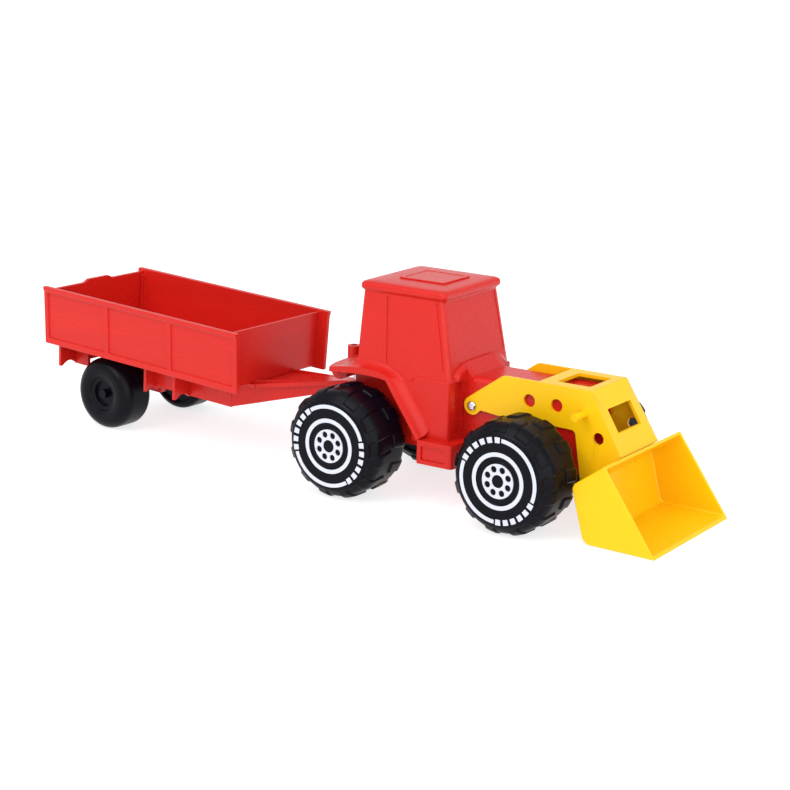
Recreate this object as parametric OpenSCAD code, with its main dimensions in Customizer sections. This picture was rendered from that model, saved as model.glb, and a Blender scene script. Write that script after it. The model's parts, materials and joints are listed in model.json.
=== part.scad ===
// Sandpit tractor with a front loader and a flat-bed trailer, in millimetres.
// +X points from the trailer to the bucket, +Y to the tractor's left, +Z up; z = 0 is the ground.
// Each sub-part is one module, drawn in place in the rest pose.

/* [Tractor] */
// Distance between the rear and front axles
wheelbase = 139; // [136:1:142]
// Overall width over the tyres
track_w = 159; // [156:1:166]
// Tyre diameter
tyre_d = 80; // [77:1:81]
// Tyre width
tyre_w = 45.6; // [42:0.2:45.6]
// Number of tread grooves on each shoulder
tread_count = 12; // [8:1:14]
// Width of the tread grooves
tread_gap = 9.4; // [2:0.2:10]
// Depth of the tread grooves
tread_depth = 1.5; // [1:0.1:2]
// Diameter of the steel axles and pins
rod_d = 4; // [3:0.5:4]
// Height of the cab roof's rim above the ground
roof_z = 152.5; // [144:0.5:158]
// Height of the bonnet top
bonnet_z = 92.5; // [88:0.5:93]

/* [Loader] */
// Width of the bucket
bucket_w = 113.6; // [90:0.2:125]
// Wall thickness of the bucket
bucket_t = 2.2; // [1.8:0.1:2.6]
// Thickness of the loader's side plates
plate_t = 2.3; // [2:0.1:2.3]

/* [Trailer] */
// Length of the trailer box
box_l = 203; // [190:1:215]
// Width of the trailer box at its floor
box_w = 106.4; // [100:0.2:112]
// Height of the side boards
board_h = 44.6; // [35:0.2:50]
// Diameter of the trailer wheels
cart_wheel_d = 56.8; // [52:0.2:58]
// Width of the trailer wheels
cart_wheel_w = 28.7; // [24:0.1:29]
// Yaw of the trailer behind the tractor at rest, in degrees
trailer_yaw = -2.9; // [-10:0.1:10]
// Pitch of the trailer at rest, nose down, in degrees
trailer_pitch = 2.4; // [0:0.1:3]

/* [Hidden] */
$fn = 48;
e = 0.01;
run_gap = 0.05;          // radial clearance of a rod that turns in a bore
wall = 2.5;              // general wall of the tractor's mouldings
rod_r = rod_d/2;
tyre_r = tyre_d/2;
axle_z = tyre_r;
face_y = track_w/2;      // outermost plane of a wheel
print_t = 0.3;           // thickness of the white print on the tyres
tyre_y = face_y - print_t;
frame_x = -31.1;         // middle of the overall length, measured from the rear axle

// tractor wheels
tread_lean = 8;          // lean of the tread grooves, in degrees
tread_z = 6;             // tread starts this far from each face of a tyre
shoulder_out = [9.5, 17]; // roundness of a tyre's outer shoulder, across and along
shoulder_in = [6, 16];
tyre_t = 3.8;            // wall between a tyre's outside and its sealed hollow
back_sink = 3;           // depth of the recess in a wheel's inner face
boss_r = 9;

// white hub and print, as radii
hub_r = 12.1;
hub_t = 1.2;
hub_sink = 0.9;
hub_hole_r = 2.3;
hub_hole_pitch_r = 8.6;
hub_eye_r = 4.5;
cap_r = 4.4;
cap_l = 3;
ring_in = 17.05;
ring_out = 20;
arc_in = 27.2;
arc_out = 29.95;
arc_half = 53;           // half angle of each long arc
bar_count = 6;
bar_half = 3.9;
bar_step = 12.2;
bar_rim = [26.5, 30.5];
print_turn = [-70, -33]; // angle of the long arcs' middle on the rear and front wheels

// tractor body
hood_w = 22.4;
hood_x0 = 72;
hood_x1 = 171;
body_z0 = 37;
rear_w = 30;
rear_x0 = -12;
door_w = 42;
door_x1 = 75.5;
lower_x0 = 44;           // rear end of the wall below the door
lower_z0 = 44;
seam_z = 90.5;           // where the tapering cab starts above that wall
deck_z = 88;
deck_w = 50;
deck_t = 3;
fender_top = 91.8;
cab_base = [-6, 76, 41.3];
cab_top = [-1.8, 64.6, 37];
cab_top_z = roof_z - 5.5;
rim = [-4, 67.8, 39];    // roof rim: rear end, front end, half width
rim_edge = [3, 3];       // bevel round the rim's top: inset and height
dome_h = 1;              // height of the roof's crown above its rim
dome_inset = 14;
plaque = [15.5, 53.5, 18]; // plain raised panel on the roof, as x0, x1, half width
plaque_z = 2;            // its top above the rim
cowl = [20, 101, 82];    // sill under the windscreen: half width, top height, front end
groove_w = 1.3;          // half width of the grooves beside the door window
grooves = [[22.5, 20], [71.6, 62.4]]; // lower and upper x of each groove
groove_z = [97, 144];
step_x = [55.5, 84.5];
step_z = [31, 48];
step_w = 50.5;
arm_pin = [84.4, 72.4];
lobe = [-15.5, 86];      // rounded rib under each rear corner of the deck
lobe_r = 5;
socket_x = -34.5;
socket_r = 4.7;
socket_hole_r = 2.4;
socket_top = 94;
socket_depth = 9;

// hitch
hitch_x = -31;
hitch_r = 3;
tongue_z = 58;
tongue_t = 3;
hitch_top = 74;

// loader
arm_in = 22.9;
arm_out = arm_in + plate_t;
arm_top = 97.6;
knee = [178, arm_top];
foot = [202.8, 57.2];
bucket_pin_at = [178.5, 32.5];
leg_r = 5.5;
window_w = 16.5;         // half width of the window in the front sheet
spots = [130, 151.5];    // x of the two round holes in each arm
spot_r = 4.6;
peg = [173.5, 81.3];
leg_hole = [185.2, 65.8]; // round hole in each leg
leg_hole_r = 4.2;
splay = 0.0513;          // outward lean of the legs, per mm below the fold
fold = [160, 68.5];
ear_in = 27.6;
ear_t = 2.5;

// trailer, in its own frame: x = 0 at the hitch, before yaw and pitch
box_front = -72;
box_back = box_front - box_l;
floor_z = 62.7;
board_top = floor_z + board_h;
board_t = 2.2;
board_drop = 2;          // the side boards reach this far below the floor
frame_t = 1.2;
draft = 2.3/44.6;
front_inset = 8;
gate_inset = 3.2;
gate_t = 3;
cart_r = cart_wheel_d/2;
cart_x = box_front - 146;
cart_face = 57.4;        // outer face of each trailer wheel, from the middle of their axle
cart_slide = 10;         // the axle stands this far to the left in its bore
skirt_w = 29;
rail_z = 40.5;
eye_z = [72.6, 76.6];
eye_r = 8;

RED = [0.9, 0.12, 0.1];
YELLOW = [1, 0.8, 0.08];
BLACK = [0.06, 0.06, 0.07];
WHITE = [0.93, 0.93, 0.95];
STEEL = [0.75, 0.76, 0.78];

// ---------- helpers ----------
// points of a circular arc
function arc(c, r, a0, a1, n = 6) =
    [for (i = [0:n]) c + r*[cos(a0 + (a1 - a0)*i/n), sin(a0 + (a1 - a0)*i/n)]];

// points of a quarter of an ellipse with semi-axes s, from angle a0 to a1
function bulge(c, s, a0, a1, n = 6) =
    [for (i = [0:n]) let (a = a0 + (a1 - a0)*i/n) c + [s[0]*cos(a), s[1]*sin(a)]];

// solid between a lower and an upper four-cornered face, corners anticlockwise from above
module block8(lo, hi)
    polyhedron(points = concat(lo, hi),
        faces = [[0, 1, 2], [0, 2, 3], [7, 6, 5], [7, 5, 4], [1, 0, 4], [1, 4, 5],
            [2, 1, 5], [2, 5, 6], [3, 2, 6], [3, 6, 7], [0, 3, 7], [0, 7, 4]]);

// upright tapering box, each level given as [x0, x1, half width]
module taper_box(lo, z0, hi, z1)
    block8([[lo[0], -lo[2], z0], [lo[1], -lo[2], z0], [lo[1], lo[2], z0], [lo[0], lo[2], z0]],
           [[hi[0], -hi[2], z1], [hi[1], -hi[2], z1], [hi[1], hi[2], z1], [hi[0], hi[2], z1]]);

// box from one corner to the other
module span(a, b) translate(a) cube(b - a);

// outline in the x-z plane made y1 - y0 thick
module slab(y0, y1) translate([0, y1, 0]) rotate([90, 0, 0]) linear_extrude(y1 - y0) children();

// rod along y
module rod_y(x, z, r, y0, y1) translate([x, y0, z]) rotate([-90, 0, 0]) cylinder(r = r, h = y1 - y0);

// both sides of the tractor
module both() { children(); mirror([0, 1, 0]) children(); }

// one wheel side: local +Z points inwards from the outer face
module wheel_place(x, side, y)
    translate([x - frame_x, side*y, axle_z]) rotate([side*90, 0, 0]) children();

module rear_place(side, y) wheel_place(0, side, y) children();

module front_place(side, y) wheel_place(wheelbase, side, y) children();

// ---------- tractor wheels ----------
// half section of a tyre: radius, distance from its outer face
module tyre_profile()
    polygon(concat(
        [[rod_r, hub_sink + cap_l], [cap_r + e, hub_sink + cap_l], [cap_r + e, hub_sink],
            [hub_r + 0.05, hub_sink], [hub_r + 0.05, 0]],
        bulge([tyre_r - shoulder_out[0], shoulder_out[1]], shoulder_out, -90, 0),
        bulge([tyre_r - shoulder_in[0], tyre_w - shoulder_in[1]], shoulder_in, 0, 90),
        [[tyre_r - 9, tyre_w], [tyre_r - 10.5, tyre_w - back_sink], [boss_r, tyre_w - back_sink],
            [boss_r, tyre_w], [rod_r, tyre_w]]));

// sealed space inside a tyre
module tyre_cavity()
    polygon([[rod_r + tyre_t, hub_sink + cap_l + tyre_t], [tyre_r - 9.5, hub_sink + cap_l + tyre_t],
        [tyre_r - tyre_t, 18], [tyre_r - tyre_t, tyre_w - 18], [tyre_r - 9, tyre_w - back_sink - tyre_t],
        [rod_r + tyre_t, tyre_w - back_sink - tyre_t]]);

module tread_cut(turn, z0, z1, tilt)
    for (i = [0:tread_count - 1])
        rotate([0, 0, turn + i*360/tread_count])
            translate([tyre_r - tread_depth + 3, 0, (z0 + z1)/2])
                rotate([tilt, 0, 0])
                    cube([6, tread_gap, z1 - z0], center = true);

module tyre() color(BLACK) difference() {
    rotate_extrude($fn = 72) tyre_profile();
    rotate_extrude($fn = 72) tyre_cavity();
    tread_cut(0, tread_z, tyre_w/2 - 1, tread_lean);
    tread_cut(180/tread_count, tyre_w/2 + 1, tyre_w - tread_z, -tread_lean);
}

module hub() color(WHITE) difference() {
    cylinder(r = hub_r, h = hub_t);
    translate([0, 0, -e]) cylinder(r = hub_eye_r, h = hub_t + 2*e);
    for (i = [0:7]) rotate([0, 0, 22.5 + i*45])
        translate([hub_hole_pitch_r, 0, -e]) cylinder(r = hub_hole_r, h = hub_t + 2*e, $fn = 24);
}

module sector(r0, r1, mid, half)
    rotate([0, 0, mid - half]) rotate_extrude(angle = 2*half) translate([r0, 0]) square([r1 - r0, print_t]);

module tyre_print(turn) color(WHITE) {
    difference() {
        cylinder(r = ring_out, h = print_t);
        translate([0, 0, -e]) cylinder(r = ring_in, h = print_t + 2*e);
    }
    for (k = [0, 180]) {
        sector(arc_in, arc_out, turn + k, arc_half);
        for (i = [0:bar_count - 1])
            sector(bar_rim[0], bar_rim[1], turn + 90 + k + (i - (bar_count - 1)/2)*bar_step, bar_half);
    }
}

module axle(x) color(STEEL)
    translate([-frame_x, 0, 0]) rod_y(x, axle_z, rod_r, -tyre_y + hub_sink + 1, tyre_y - hub_sink - 1);

module axle_caps(x) color(BLACK) for (s = [-1, 1])
    wheel_place(x, s, tyre_y) difference() {
        cylinder(r = cap_r, h = hub_sink + cap_l);
        translate([0, 0, hub_sink + 1]) cylinder(r = rod_r, h = cap_l);
    }

// ---------- tractor body ----------
// level of the roof at a distance inside its rim
function roof_level(inset) = [rim[0] + inset, rim[1] - inset, rim[2] - inset];

module cab_outer() {
    taper_box(cab_base, deck_z - deck_t, cab_top, cab_top_z);
    taper_box(rim, cab_top_z - 0.5, rim, roof_z - rim_edge[1]);
    taper_box(rim, roof_z - rim_edge[1], roof_level(rim_edge[0]), roof_z);
    taper_box(roof_level(rim_edge[0]), roof_z - e, roof_level(dome_inset), roof_z + dome_h);
    span([plaque[0], -plaque[2], roof_z], [plaque[1], plaque[2], roof_z + plaque_z]);
    slab(-cowl[0], cowl[0]) polygon([[hood_x0, bonnet_z - 3], [hood_x0, cowl[1]], [hood_x0 + 2, cowl[1]],
        [cowl[2], bonnet_z - 0.2], [cowl[2], bonnet_z - 3]]);
}

module cab_inner()
    taper_box([cab_base[0] + wall, cab_base[1] - wall, cab_base[2] - wall], deck_z - deck_t - e,
              [cab_top[0] + wall, cab_top[1] - wall, cab_top[2] - wall], cab_top_z - 1);

// grooves beside the door windows, sloping with the cab's wall
module cab_grooves() both() for (g = grooves)
    taper_slot([g[0], door_w - 2, groove_z[0]], [g[1], door_w - 5.3, groove_z[1]]);

// slot from x, y, z at its foot to x, y, z at its top, open to the outside
module taper_slot(lo, hi)
    block8([[lo[0] - groove_w, -door_w - 3, lo[2]], [lo[0] + groove_w, -door_w - 3, lo[2]],
            [lo[0] + groove_w, -lo[1], lo[2]], [lo[0] - groove_w, -lo[1], lo[2]]],
           [[hi[0] - groove_w, -door_w - 3, hi[2]], [hi[0] + groove_w, -door_w - 3, hi[2]],
            [hi[0] + groove_w, -hi[1], hi[2]], [hi[0] - groove_w, -hi[1], hi[2]]]);

// outline of the bonnet, seen from the side
module hood_side(grow)
    polygon(concat([[hood_x0, body_z0 - e], [hood_x1 - 1 - grow, body_z0 - e], [hood_x1 - grow, 52 - grow],
        [hood_x1 - 13 - grow, 56 - grow], [hood_x1 - 4 - grow, bonnet_z - 12 - grow]],
        arc([hood_x1 - 5 - grow, bonnet_z - 6 - grow], 6, -10, 90, 5), [[hood_x0, bonnet_z - grow]]));

module hood_outer() intersection() {
    slab(-hood_w, hood_w) hood_side(0);
    translate([hood_x0 - e, 0, 0]) rotate([90, 0, 90]) linear_extrude(hood_x1)
        polygon(concat([[-hood_w, 0], [hood_w, 0]], arc([hood_w - 4, bonnet_z - 4], 4, 0, 90, 5),
            arc([4 - hood_w, bonnet_z - 4], 4, 90, 180, 5)));
}

// fender top across the whole width, with the flat tail behind it
module deck() {
    slab(-deck_w, deck_w) polygon([[-20, deck_z - 2.4], [-20, deck_z + 1], [-8, fender_top], [14, fender_top],
        [25, deck_z + 2], [28.5, deck_z], [27, deck_z - 2.4], [8, deck_z - 0.8], [-8, deck_z - 0.8]]);
    block8([[-30, -8, deck_z - deck_t], [-19, -48, deck_z - deck_t],
            [-19, 48, deck_z - deck_t], [-30, 8, deck_z - deck_t]],
           [[-30, -8, deck_z], [-19, -48, deck_z], [-19, 48, deck_z], [-30, 8, deck_z]]);
}

// solid wedge that the mudguard makes between the deck, the step and the door
module mudguard() both()
    block8([[52, -step_w, 46], [55.6, -step_w, 46], [60, -door_w + 1, 46], [52, -door_w + 1, 46]],
           [[24.3, -deck_w, deck_z], [28.5, -deck_w, deck_z], [42, -door_w + 1, deck_z],
            [24.3, -door_w + 1, deck_z]]);

module step_box() both() difference() {
    inner_y = -rear_w + 3;
    span([step_x[0], -step_w, step_z[0]], [step_x[1], inner_y, step_z[1]]);
    span([step_x[0] + wall, -step_w + wall, step_z[0] - e],
        [step_x[1] - wall, inner_y + e, step_z[1] - wall]);
    span([step_x[0] + 3.5, -step_w - e, step_z[0] + 3.5], [step_x[1] - 4, -step_w + 1, step_z[1] - 3]);
}

module body_outer() {
    cab_outer();
    hood_outer();
    span([lower_x0, -door_w, lower_z0], [door_x1, door_w, seam_z]);
    span([rear_x0, -rear_w, body_z0], [hood_x0 + 4, rear_w, deck_z]);
    deck();
    mudguard();
    socket_foot = deck_z - deck_t - 1;
    translate([socket_x, 0, socket_foot]) cylinder(r = socket_r, h = socket_top - socket_foot);
    span([socket_x, -socket_r, socket_foot], [-20, socket_r, deck_z]);
    both() rod_y(lobe[0], lobe[1], lobe_r, -37, -rear_w + 4);
    both() span([lobe[0] - lobe_r, -37, lobe[1]], [lobe[0] + lobe_r, -rear_w + 4, deck_z - 1]);
}

module body_inner() {
    cab_inner();
    span([lower_x0 + wall, -door_w + wall, lower_z0 - e], [door_x1 - wall, door_w - wall, seam_z + 1]);
    span([rear_x0 + wall, -rear_w + wall, body_z0 - e],
        [hood_x0 + 5, rear_w - wall, deck_z - deck_t + 0.4]);
    slab(-hood_w + wall, hood_w - wall)
        polygon([[hood_x0 - 1, body_z0 - e], [hood_x1 - 4, body_z0 - e], [hood_x1 - 4, 49],
            [hood_x1 - 16.5, 55], [hood_x1 - 7.5, bonnet_z - 9], [hood_x1 - 9, bonnet_z - 3],
            [hood_x0 - 1, bonnet_z - 3]]);
}

module body() color(RED) translate([-frame_x, 0, 0]) difference() {
    union() {
        difference() {
            body_outer();
            body_inner();
        }
        step_box();
        rod_y(arm_pin[0], arm_pin[1], rod_r + 2.5, -hood_w, hood_w);
    }
    cab_grooves();
    rod_y(arm_pin[0], arm_pin[1], rod_r, -hood_w - e, hood_w + e);
    translate([socket_x, 0, socket_top - socket_depth]) cylinder(r = socket_hole_r, h = socket_depth + e);
    for (x = [0, wheelbase]) span([x - 8.3, -rear_w - 5, body_z0 - 1], [x + 8.3, rear_w + 5, axle_z + 8.3]);
}

// base plate with a bearing block round each axle and the tow tongue
module chassis() color(RED) translate([-frame_x, 0, 0]) difference() {
    union() {
        span([rear_x0 + wall, -rear_w + wall, body_z0 - 1], [hood_x0 - 18, rear_w - wall, body_z0 + 2]);
        span([hood_x0 - 18, -hood_w + wall, body_z0 - 1], [hood_x1 - 4.2, hood_w - wall, body_z0 + 2]);
        span([-8, -32.5, 33.5], [8, 32.5, axle_z + 8]);
        span([wheelbase - 8, -32.5, 33.5], [wheelbase + 8, 32.5, axle_z + 8]);
        span([rear_x0 - 3.2, -9, body_z0 - 1], [rear_x0 - 0.2, 9, tongue_z + tongue_t]);
        span([rear_x0 - 3.2, -9, body_z0 - 1], [rear_x0 + 5, 9, body_z0 - 0.1]);
        span([hitch_x, -7, tongue_z], [rear_x0 - 1, 7, tongue_z + tongue_t]);
        translate([hitch_x, 0, tongue_z]) cylinder(r = 7, h = tongue_t);
        for (s = [-1, 1])
            slab(s*6 - 1, s*6 + 1) polygon([[rear_x0 - 3, 42], [rear_x0 - 1, 42],
                [rear_x0 - 1, tongue_z + 0.5], [hitch_x + 2, tongue_z + 0.5]]);
    }
    for (x = [0, wheelbase]) {
        rod_y(x, axle_z, rod_r + run_gap, -40, 40);
        span([x - 5.5, -20, 35.5], [x + 5.5, 20, axle_z + 9]);
    }
    translate([hitch_x, 0, tongue_z - e]) cylinder(r = hitch_r, h = tongue_t + 2*e);
}

module loader_pin() color(STEEL) translate([-frame_x, 0, 0]) {
    rod_y(arm_pin[0], arm_pin[1], rod_r, -arm_out - 0.4, arm_out + 0.4);
    both() translate([arm_pin[0], -arm_out - 0.4, arm_pin[1]]) rotate([90, 0, 0])
        rotate_extrude() polygon(concat([[0, 0], [3.4, 0]], arc([1.8, 0.3], 1.6, 0, 90, 5), [[0, 1.9]]));
}

module hitch_pin() color(STEEL) translate([hitch_x - frame_x, 0, 0]) rotate_extrude()
    polygon([[0, tongue_z - 1.6], [4.6, tongue_z - 1.6], [4.6, tongue_z], [hitch_r, tongue_z],
        [hitch_r, hitch_top - 2], [hitch_r - 1.2, hitch_top], [0, hitch_top]]);

// ---------- loader ----------
module arm_outline() {
    polygon(concat(
        arc(arm_pin, 6.6, 128, 308, 14),
        [[91.5, 69.6], [98, 69.4], [106, 68.5], [fold[0], fold[1]], [fold[0] + 4, fold[1]], knee + [-1, 0]],
        arc([109.5, arm_top - 4.5], 4.5, 90, 128, 4)));
}

// the part of each side plate that leans outwards, below and ahead of the fold
module leg_outline()
    polygon(concat([fold, [fold[0] + 2.5, fold[1] - 0.3]],
        arc([163.2, 63.9], 4.2, 72, 17, 4),
        arc(bucket_pin_at, leg_r, 163, 400, 12),
        [[184.6, 41.5], foot + [-1.2, -0.4], foot, knee, knee + [-2, 0]]));

module leg() both() multmatrix([[1, 0, 0, 0],
        [-splay*0.865, 1, splay*0.502, splay*(0.865*fold[0] - 0.502*fold[1])], [0, 0, 1, 0], [0, 0, 0, 1]])
    slab(-arm_out, -arm_in) leg_outline();

// four corners of the front sheet's section at a point of its outer face
function sheet_edge(at, n, half) =
    [[at[0] - n[0], -half, at[1] - n[1]], [at[0], -half, at[1]],
     [at[0], half, at[1]], [at[0] - n[0], half, at[1] - n[1]]];

// front sheet between the legs, widening towards its foot, with its window
module front_sheet() {
    n = [0.846, 0.533]*2.4;
    h0 = arm_out;
    h1 = arm_out + splay*42.9;
    difference() {
        block8(sheet_edge(foot, n, h1), sheet_edge(knee, n, h0));
        slab(-window_w, window_w) polygon([[188, 66.5], [210, 71], [200, 89], [176, 83]]);
    }
}

module loader_frame() color(YELLOW) translate([-frame_x, 0, 0]) difference() {
    union() {
        both() slab(-arm_out, -arm_in) arm_outline();
        leg();
        front_sheet();
        difference() {
            span([136, -arm_out, arm_top - 2.4], [knee[0] - 0.5, arm_out, arm_top]);
            span([146, -15.5, arm_top - 3], [171.5, 15.5, arm_top + 1]);
        }
        both() rod_y(peg[0], peg[1], 2.7, -40, -arm_in - 0.5);
    }
    both() rod_y(arm_pin[0], arm_pin[1], rod_r + run_gap, -arm_out - 1, -arm_in + 1);
    both() rod_y(bucket_pin_at[0], bucket_pin_at[1], rod_r + run_gap, -arm_out - 5, -arm_in + 1);
    for (x = spots) both() rod_y(x, 83.2, spot_r, -arm_out - 1, -arm_in + 1);
    both() rod_y(leg_hole[0], leg_hole[1], leg_hole_r, -arm_out - 5, -arm_in + 2);
}

function bucket_line(t) = concat(
    [[206 - 0.2*t, 57 - 1.2*t]],
    arc([187.2, 36.6], 4 - t, 130, 193, 5),
    arc([197, 5.6], 5 - t, 193, 267, 6),
    [[246.4 - 2*t, t]]);

module bucket() color(YELLOW) translate([-frame_x, 0, 0]) difference() {
    union() {
        difference() {
            slab(-bucket_w/2, bucket_w/2) polygon(bucket_line(0));
            slab(-bucket_w/2 + 2.4, bucket_w/2 - 2.4)
                polygon(concat([[212, 62]], bucket_line(bucket_t), [[262, bucket_t]]));
        }
        both() slab(-ear_in - ear_t, -ear_in)
            polygon(concat(arc(bucket_pin_at, 4.8, 100, 280, 10), [[187.4, 24], [184.6, 36]]));
    }
    both() rod_y(bucket_pin_at[0], bucket_pin_at[1], rod_r, -ear_in - ear_t - e, -ear_in + e);
}

module bucket_pin() color(STEEL) translate([-frame_x, 0, 0]) {
    rod_y(bucket_pin_at[0], bucket_pin_at[1], rod_r, -ear_in - ear_t, ear_in + ear_t);
    both() rod_y(bucket_pin_at[0], bucket_pin_at[1], 3, -ear_in - ear_t - 1, -ear_in - ear_t);
}

// ---------- trailer ----------
// the eye of the drawbar ends up over the hitch
module trailer_place() {
    arm = -cart_x;
    rise = (eye_z[0] + eye_z[1])/2 - cart_r;
    dx = arm*(1 - cos(trailer_pitch)) - rise*sin(trailer_pitch);
    translate([hitch_x - frame_x, 0, 0]) rotate([0, 0, trailer_yaw]) translate([dx, 0, 0])
        translate([cart_x, 0, cart_r]) rotate([0, trailer_pitch, 0])
            translate([-cart_x, 0, -cart_r]) children();
}

// makes a side board lean outwards, on side s
module lean(s)
    multmatrix([[1, 0, 0, 0], [0, 1, s*draft, -s*draft*floor_z], [0, 0, 1, 0], [0, 0, 0, 1]]) children();

module side_board() {
    out = box_w/2;
    foot = floor_z - board_drop;
    span([box_back, out - frame_t - board_t, foot], [box_front, out - frame_t, board_top]);
    span([box_back, out - board_t, foot], [box_front, out, foot + 5]);
    span([box_back, out - board_t - 0.6, board_top - 3.6], [box_front, out + 0.8, board_top]);
    for (x = [box_back, box_front - 4.6]) span([x, out - board_t, foot], [x + 4.6, out, board_top]);
    for (k = [1, 2]) let (x = box_front - k*box_l/3)
        span([x - 1.8, out - board_t, foot], [x + 1.8, out, board_top]);
}

module trailer_box() color(RED) trailer_place() {
    lean(1) side_board();
    lean(-1) mirror([0, 1, 0]) side_board();
    span([box_back, -box_w/2 + 1, floor_z], [box_front - front_inset, box_w/2 - 1, floor_z + 2.5]);
    in0 = box_w/2 - frame_t - 0.5;
    in1 = in0 + draft*board_h;
    taper_box([box_front - front_inset - board_t, box_front - front_inset, in0], floor_z,
              [box_front - front_inset - board_t, box_front - front_inset, in1], board_top - 0.6);
    // ledges that guide the tailgate
    guide = box_back + gate_inset + gate_t + 0.3;
    for (s = [-1, 1]) lean(s)
        span([guide, s*(in0 - 3) - 2, floor_z + 2], [guide + 2, s*(in0 - 3) + 2, board_top - 4]);
}

module tailgate() color(RED) trailer_place() {
    g0 = box_w/2 - frame_t - board_t - 0.4;
    g1 = g0 + draft*(board_h - 3);
    x0 = box_back + gate_inset;
    z0 = floor_z + 2.8;
    top = board_top - 2;
    difference() {
        taper_box([x0, x0 + gate_t, g0], z0, [x0, x0 + gate_t, g1], top);
        span([x0 - e, -g0 + 6, z0 + 5], [x0 + 0.8, g0 - 6, top - 5]);
    }
    translate([x0, 0, 0]) rotate([90, 0, 90]) linear_extrude(gate_t)
        polygon([[-14, top - 1], [14, top - 1], [10, top + 2.4], [-10, top + 2.4]]);
}

// wall across the trailer with a scalloped lower edge, outside the skirts
module cross_wall(x, half, foot_z)
    translate([x, 0, 0]) rotate([90, 0, 90]) linear_extrude(2.4)
        polygon(concat([[-half, floor_z], [-half, foot_z], [-half + 2, foot_z]],
            [for (i = [1:5]) [-half + 2 + (half - skirt_w - 2)*i/5, foot_z + 3.4*sin(180*i/5)]],
            [for (i = [0:4]) [skirt_w + (half - skirt_w - 2)*i/5, foot_z + 3.4*sin(180*i/5)]],
            [[half - 2, foot_z], [half, foot_z], [half, floor_z]]));

module drawbar() {
    // top sheet, rising to the eye
    root = box_front - 6;
    block8([[root, -skirt_w, floor_z - 3], [-6, -5, eye_z[0]],
            [-6, 5, eye_z[0]], [root, skirt_w, floor_z - 3]],
           [[root, -skirt_w, floor_z], [-6, -5, eye_z[1]], [-6, 5, eye_z[1]], [root, skirt_w, floor_z]]);
    // side skirts, tapering in depth
    both() block8(
        [[box_front - 27, -skirt_w, rail_z], [-14, -7.5, eye_z[0] - 6],
         [-14, -5, eye_z[0] - 6], [box_front - 27, -skirt_w + wall, rail_z]],
        [[box_front - 27, -skirt_w, floor_z - 1], [-14, -7.5, eye_z[0] + 2],
         [-14, -5, eye_z[0] + 2], [box_front - 27, -skirt_w + wall, floor_z - 1]]);
}

module trailer_chassis() color(RED) difference() {
    trailer_place() {
        span([box_back + 5, -skirt_w, floor_z - 2.4], [box_front - 3, skirt_w, floor_z]);
        cross_wall(box_back + 8, 46, 42);
        cross_wall(box_front - 107, 40, 38);
        cross_wall(box_front - 71, 46, 40);
        both() {
            span([box_back + 9, -skirt_w, rail_z + 1], [box_back + 24, -skirt_w + wall, floor_z]);
            span([box_front - 106, -skirt_w, rail_z], [box_front - 26, -skirt_w + wall, floor_z]);
            slab(-17, -11) polygon([[cart_x - 26, floor_z], [cart_x - 9, cart_r - 8],
                [cart_x + 9, cart_r - 8], [cart_x + 30, floor_z]]);
        }
        drawbar();
        // the eye leans back by the pitch, so that it stands upright on the hitch pin
        multmatrix([[1, 0, -tan(trailer_pitch), tan(trailer_pitch)*(eye_z[0] + eye_z[1])/2],
                [0, 1, 0, 0], [0, 0, 1, 0], [0, 0, 0, 1]])
            translate([0, 0, eye_z[0]]) cylinder(r = eye_r, h = eye_z[1] - eye_z[0]);
    }
    trailer_place() rod_y(cart_x, cart_r, rod_r + run_gap, -20, 20);
    translate([hitch_x - frame_x, 0, 50]) cylinder(r = hitch_r + 0.08, h = 40);
}

module trailer_axle() color(STEEL) trailer_place()
    rod_y(cart_x, cart_r, rod_r, cart_slide - cart_face + 4, cart_slide + cart_face - 4);

// outer face of a trailer wheel, with z pointing inwards
module cart_side(s) trailer_place()
    translate([cart_x, cart_slide + s*cart_face, cart_r]) rotate([s*90, 0, 0]) children();

module trailer_axle_caps() color(BLACK) for (s = [-1, 1])
    cart_side(s) difference() {
        translate([0, 0, 1.6]) cylinder(r = 3.6, h = 4.4);
        translate([0, 0, 4]) cylinder(r = rod_r, h = 5);
    }

// half section of a trailer wheel with its stepped dish
module cart_profile()
    polygon(concat(
        [[rod_r, 6], [9.8, 6], [9.8, 3.4], [11.2, 2.6], [12.8, 2.6], [13.6, 1], [15, 1], [16.4, 0.2]],
        bulge([cart_r - 8.4, 10], [8.4, 10], -90, 0),
        bulge([cart_r - 4, cart_wheel_w - 7], [4, 7], 0, 90),
        [[cart_r - 6, cart_wheel_w], [cart_r - 7.5, cart_wheel_w - back_sink],
            [7, cart_wheel_w - back_sink], [7, cart_wheel_w], [rod_r, cart_wheel_w]]));

// sealed space inside a trailer wheel
module cart_cavity()
    polygon([[rod_r + 3, 9], [14, 9], [16, 5], [cart_r - 8, 5], [cart_r - 4, 10],
        [cart_r - 4, cart_wheel_w - 8], [cart_r - 6, cart_wheel_w - back_sink - 3],
        [rod_r + 3, cart_wheel_w - back_sink - 3]]);

module cart_wheel(s) color(BLACK)
    cart_side(s) difference() {
        rotate_extrude($fn = 64) cart_profile();
        rotate_extrude($fn = 64) cart_cavity();
    }

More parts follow.
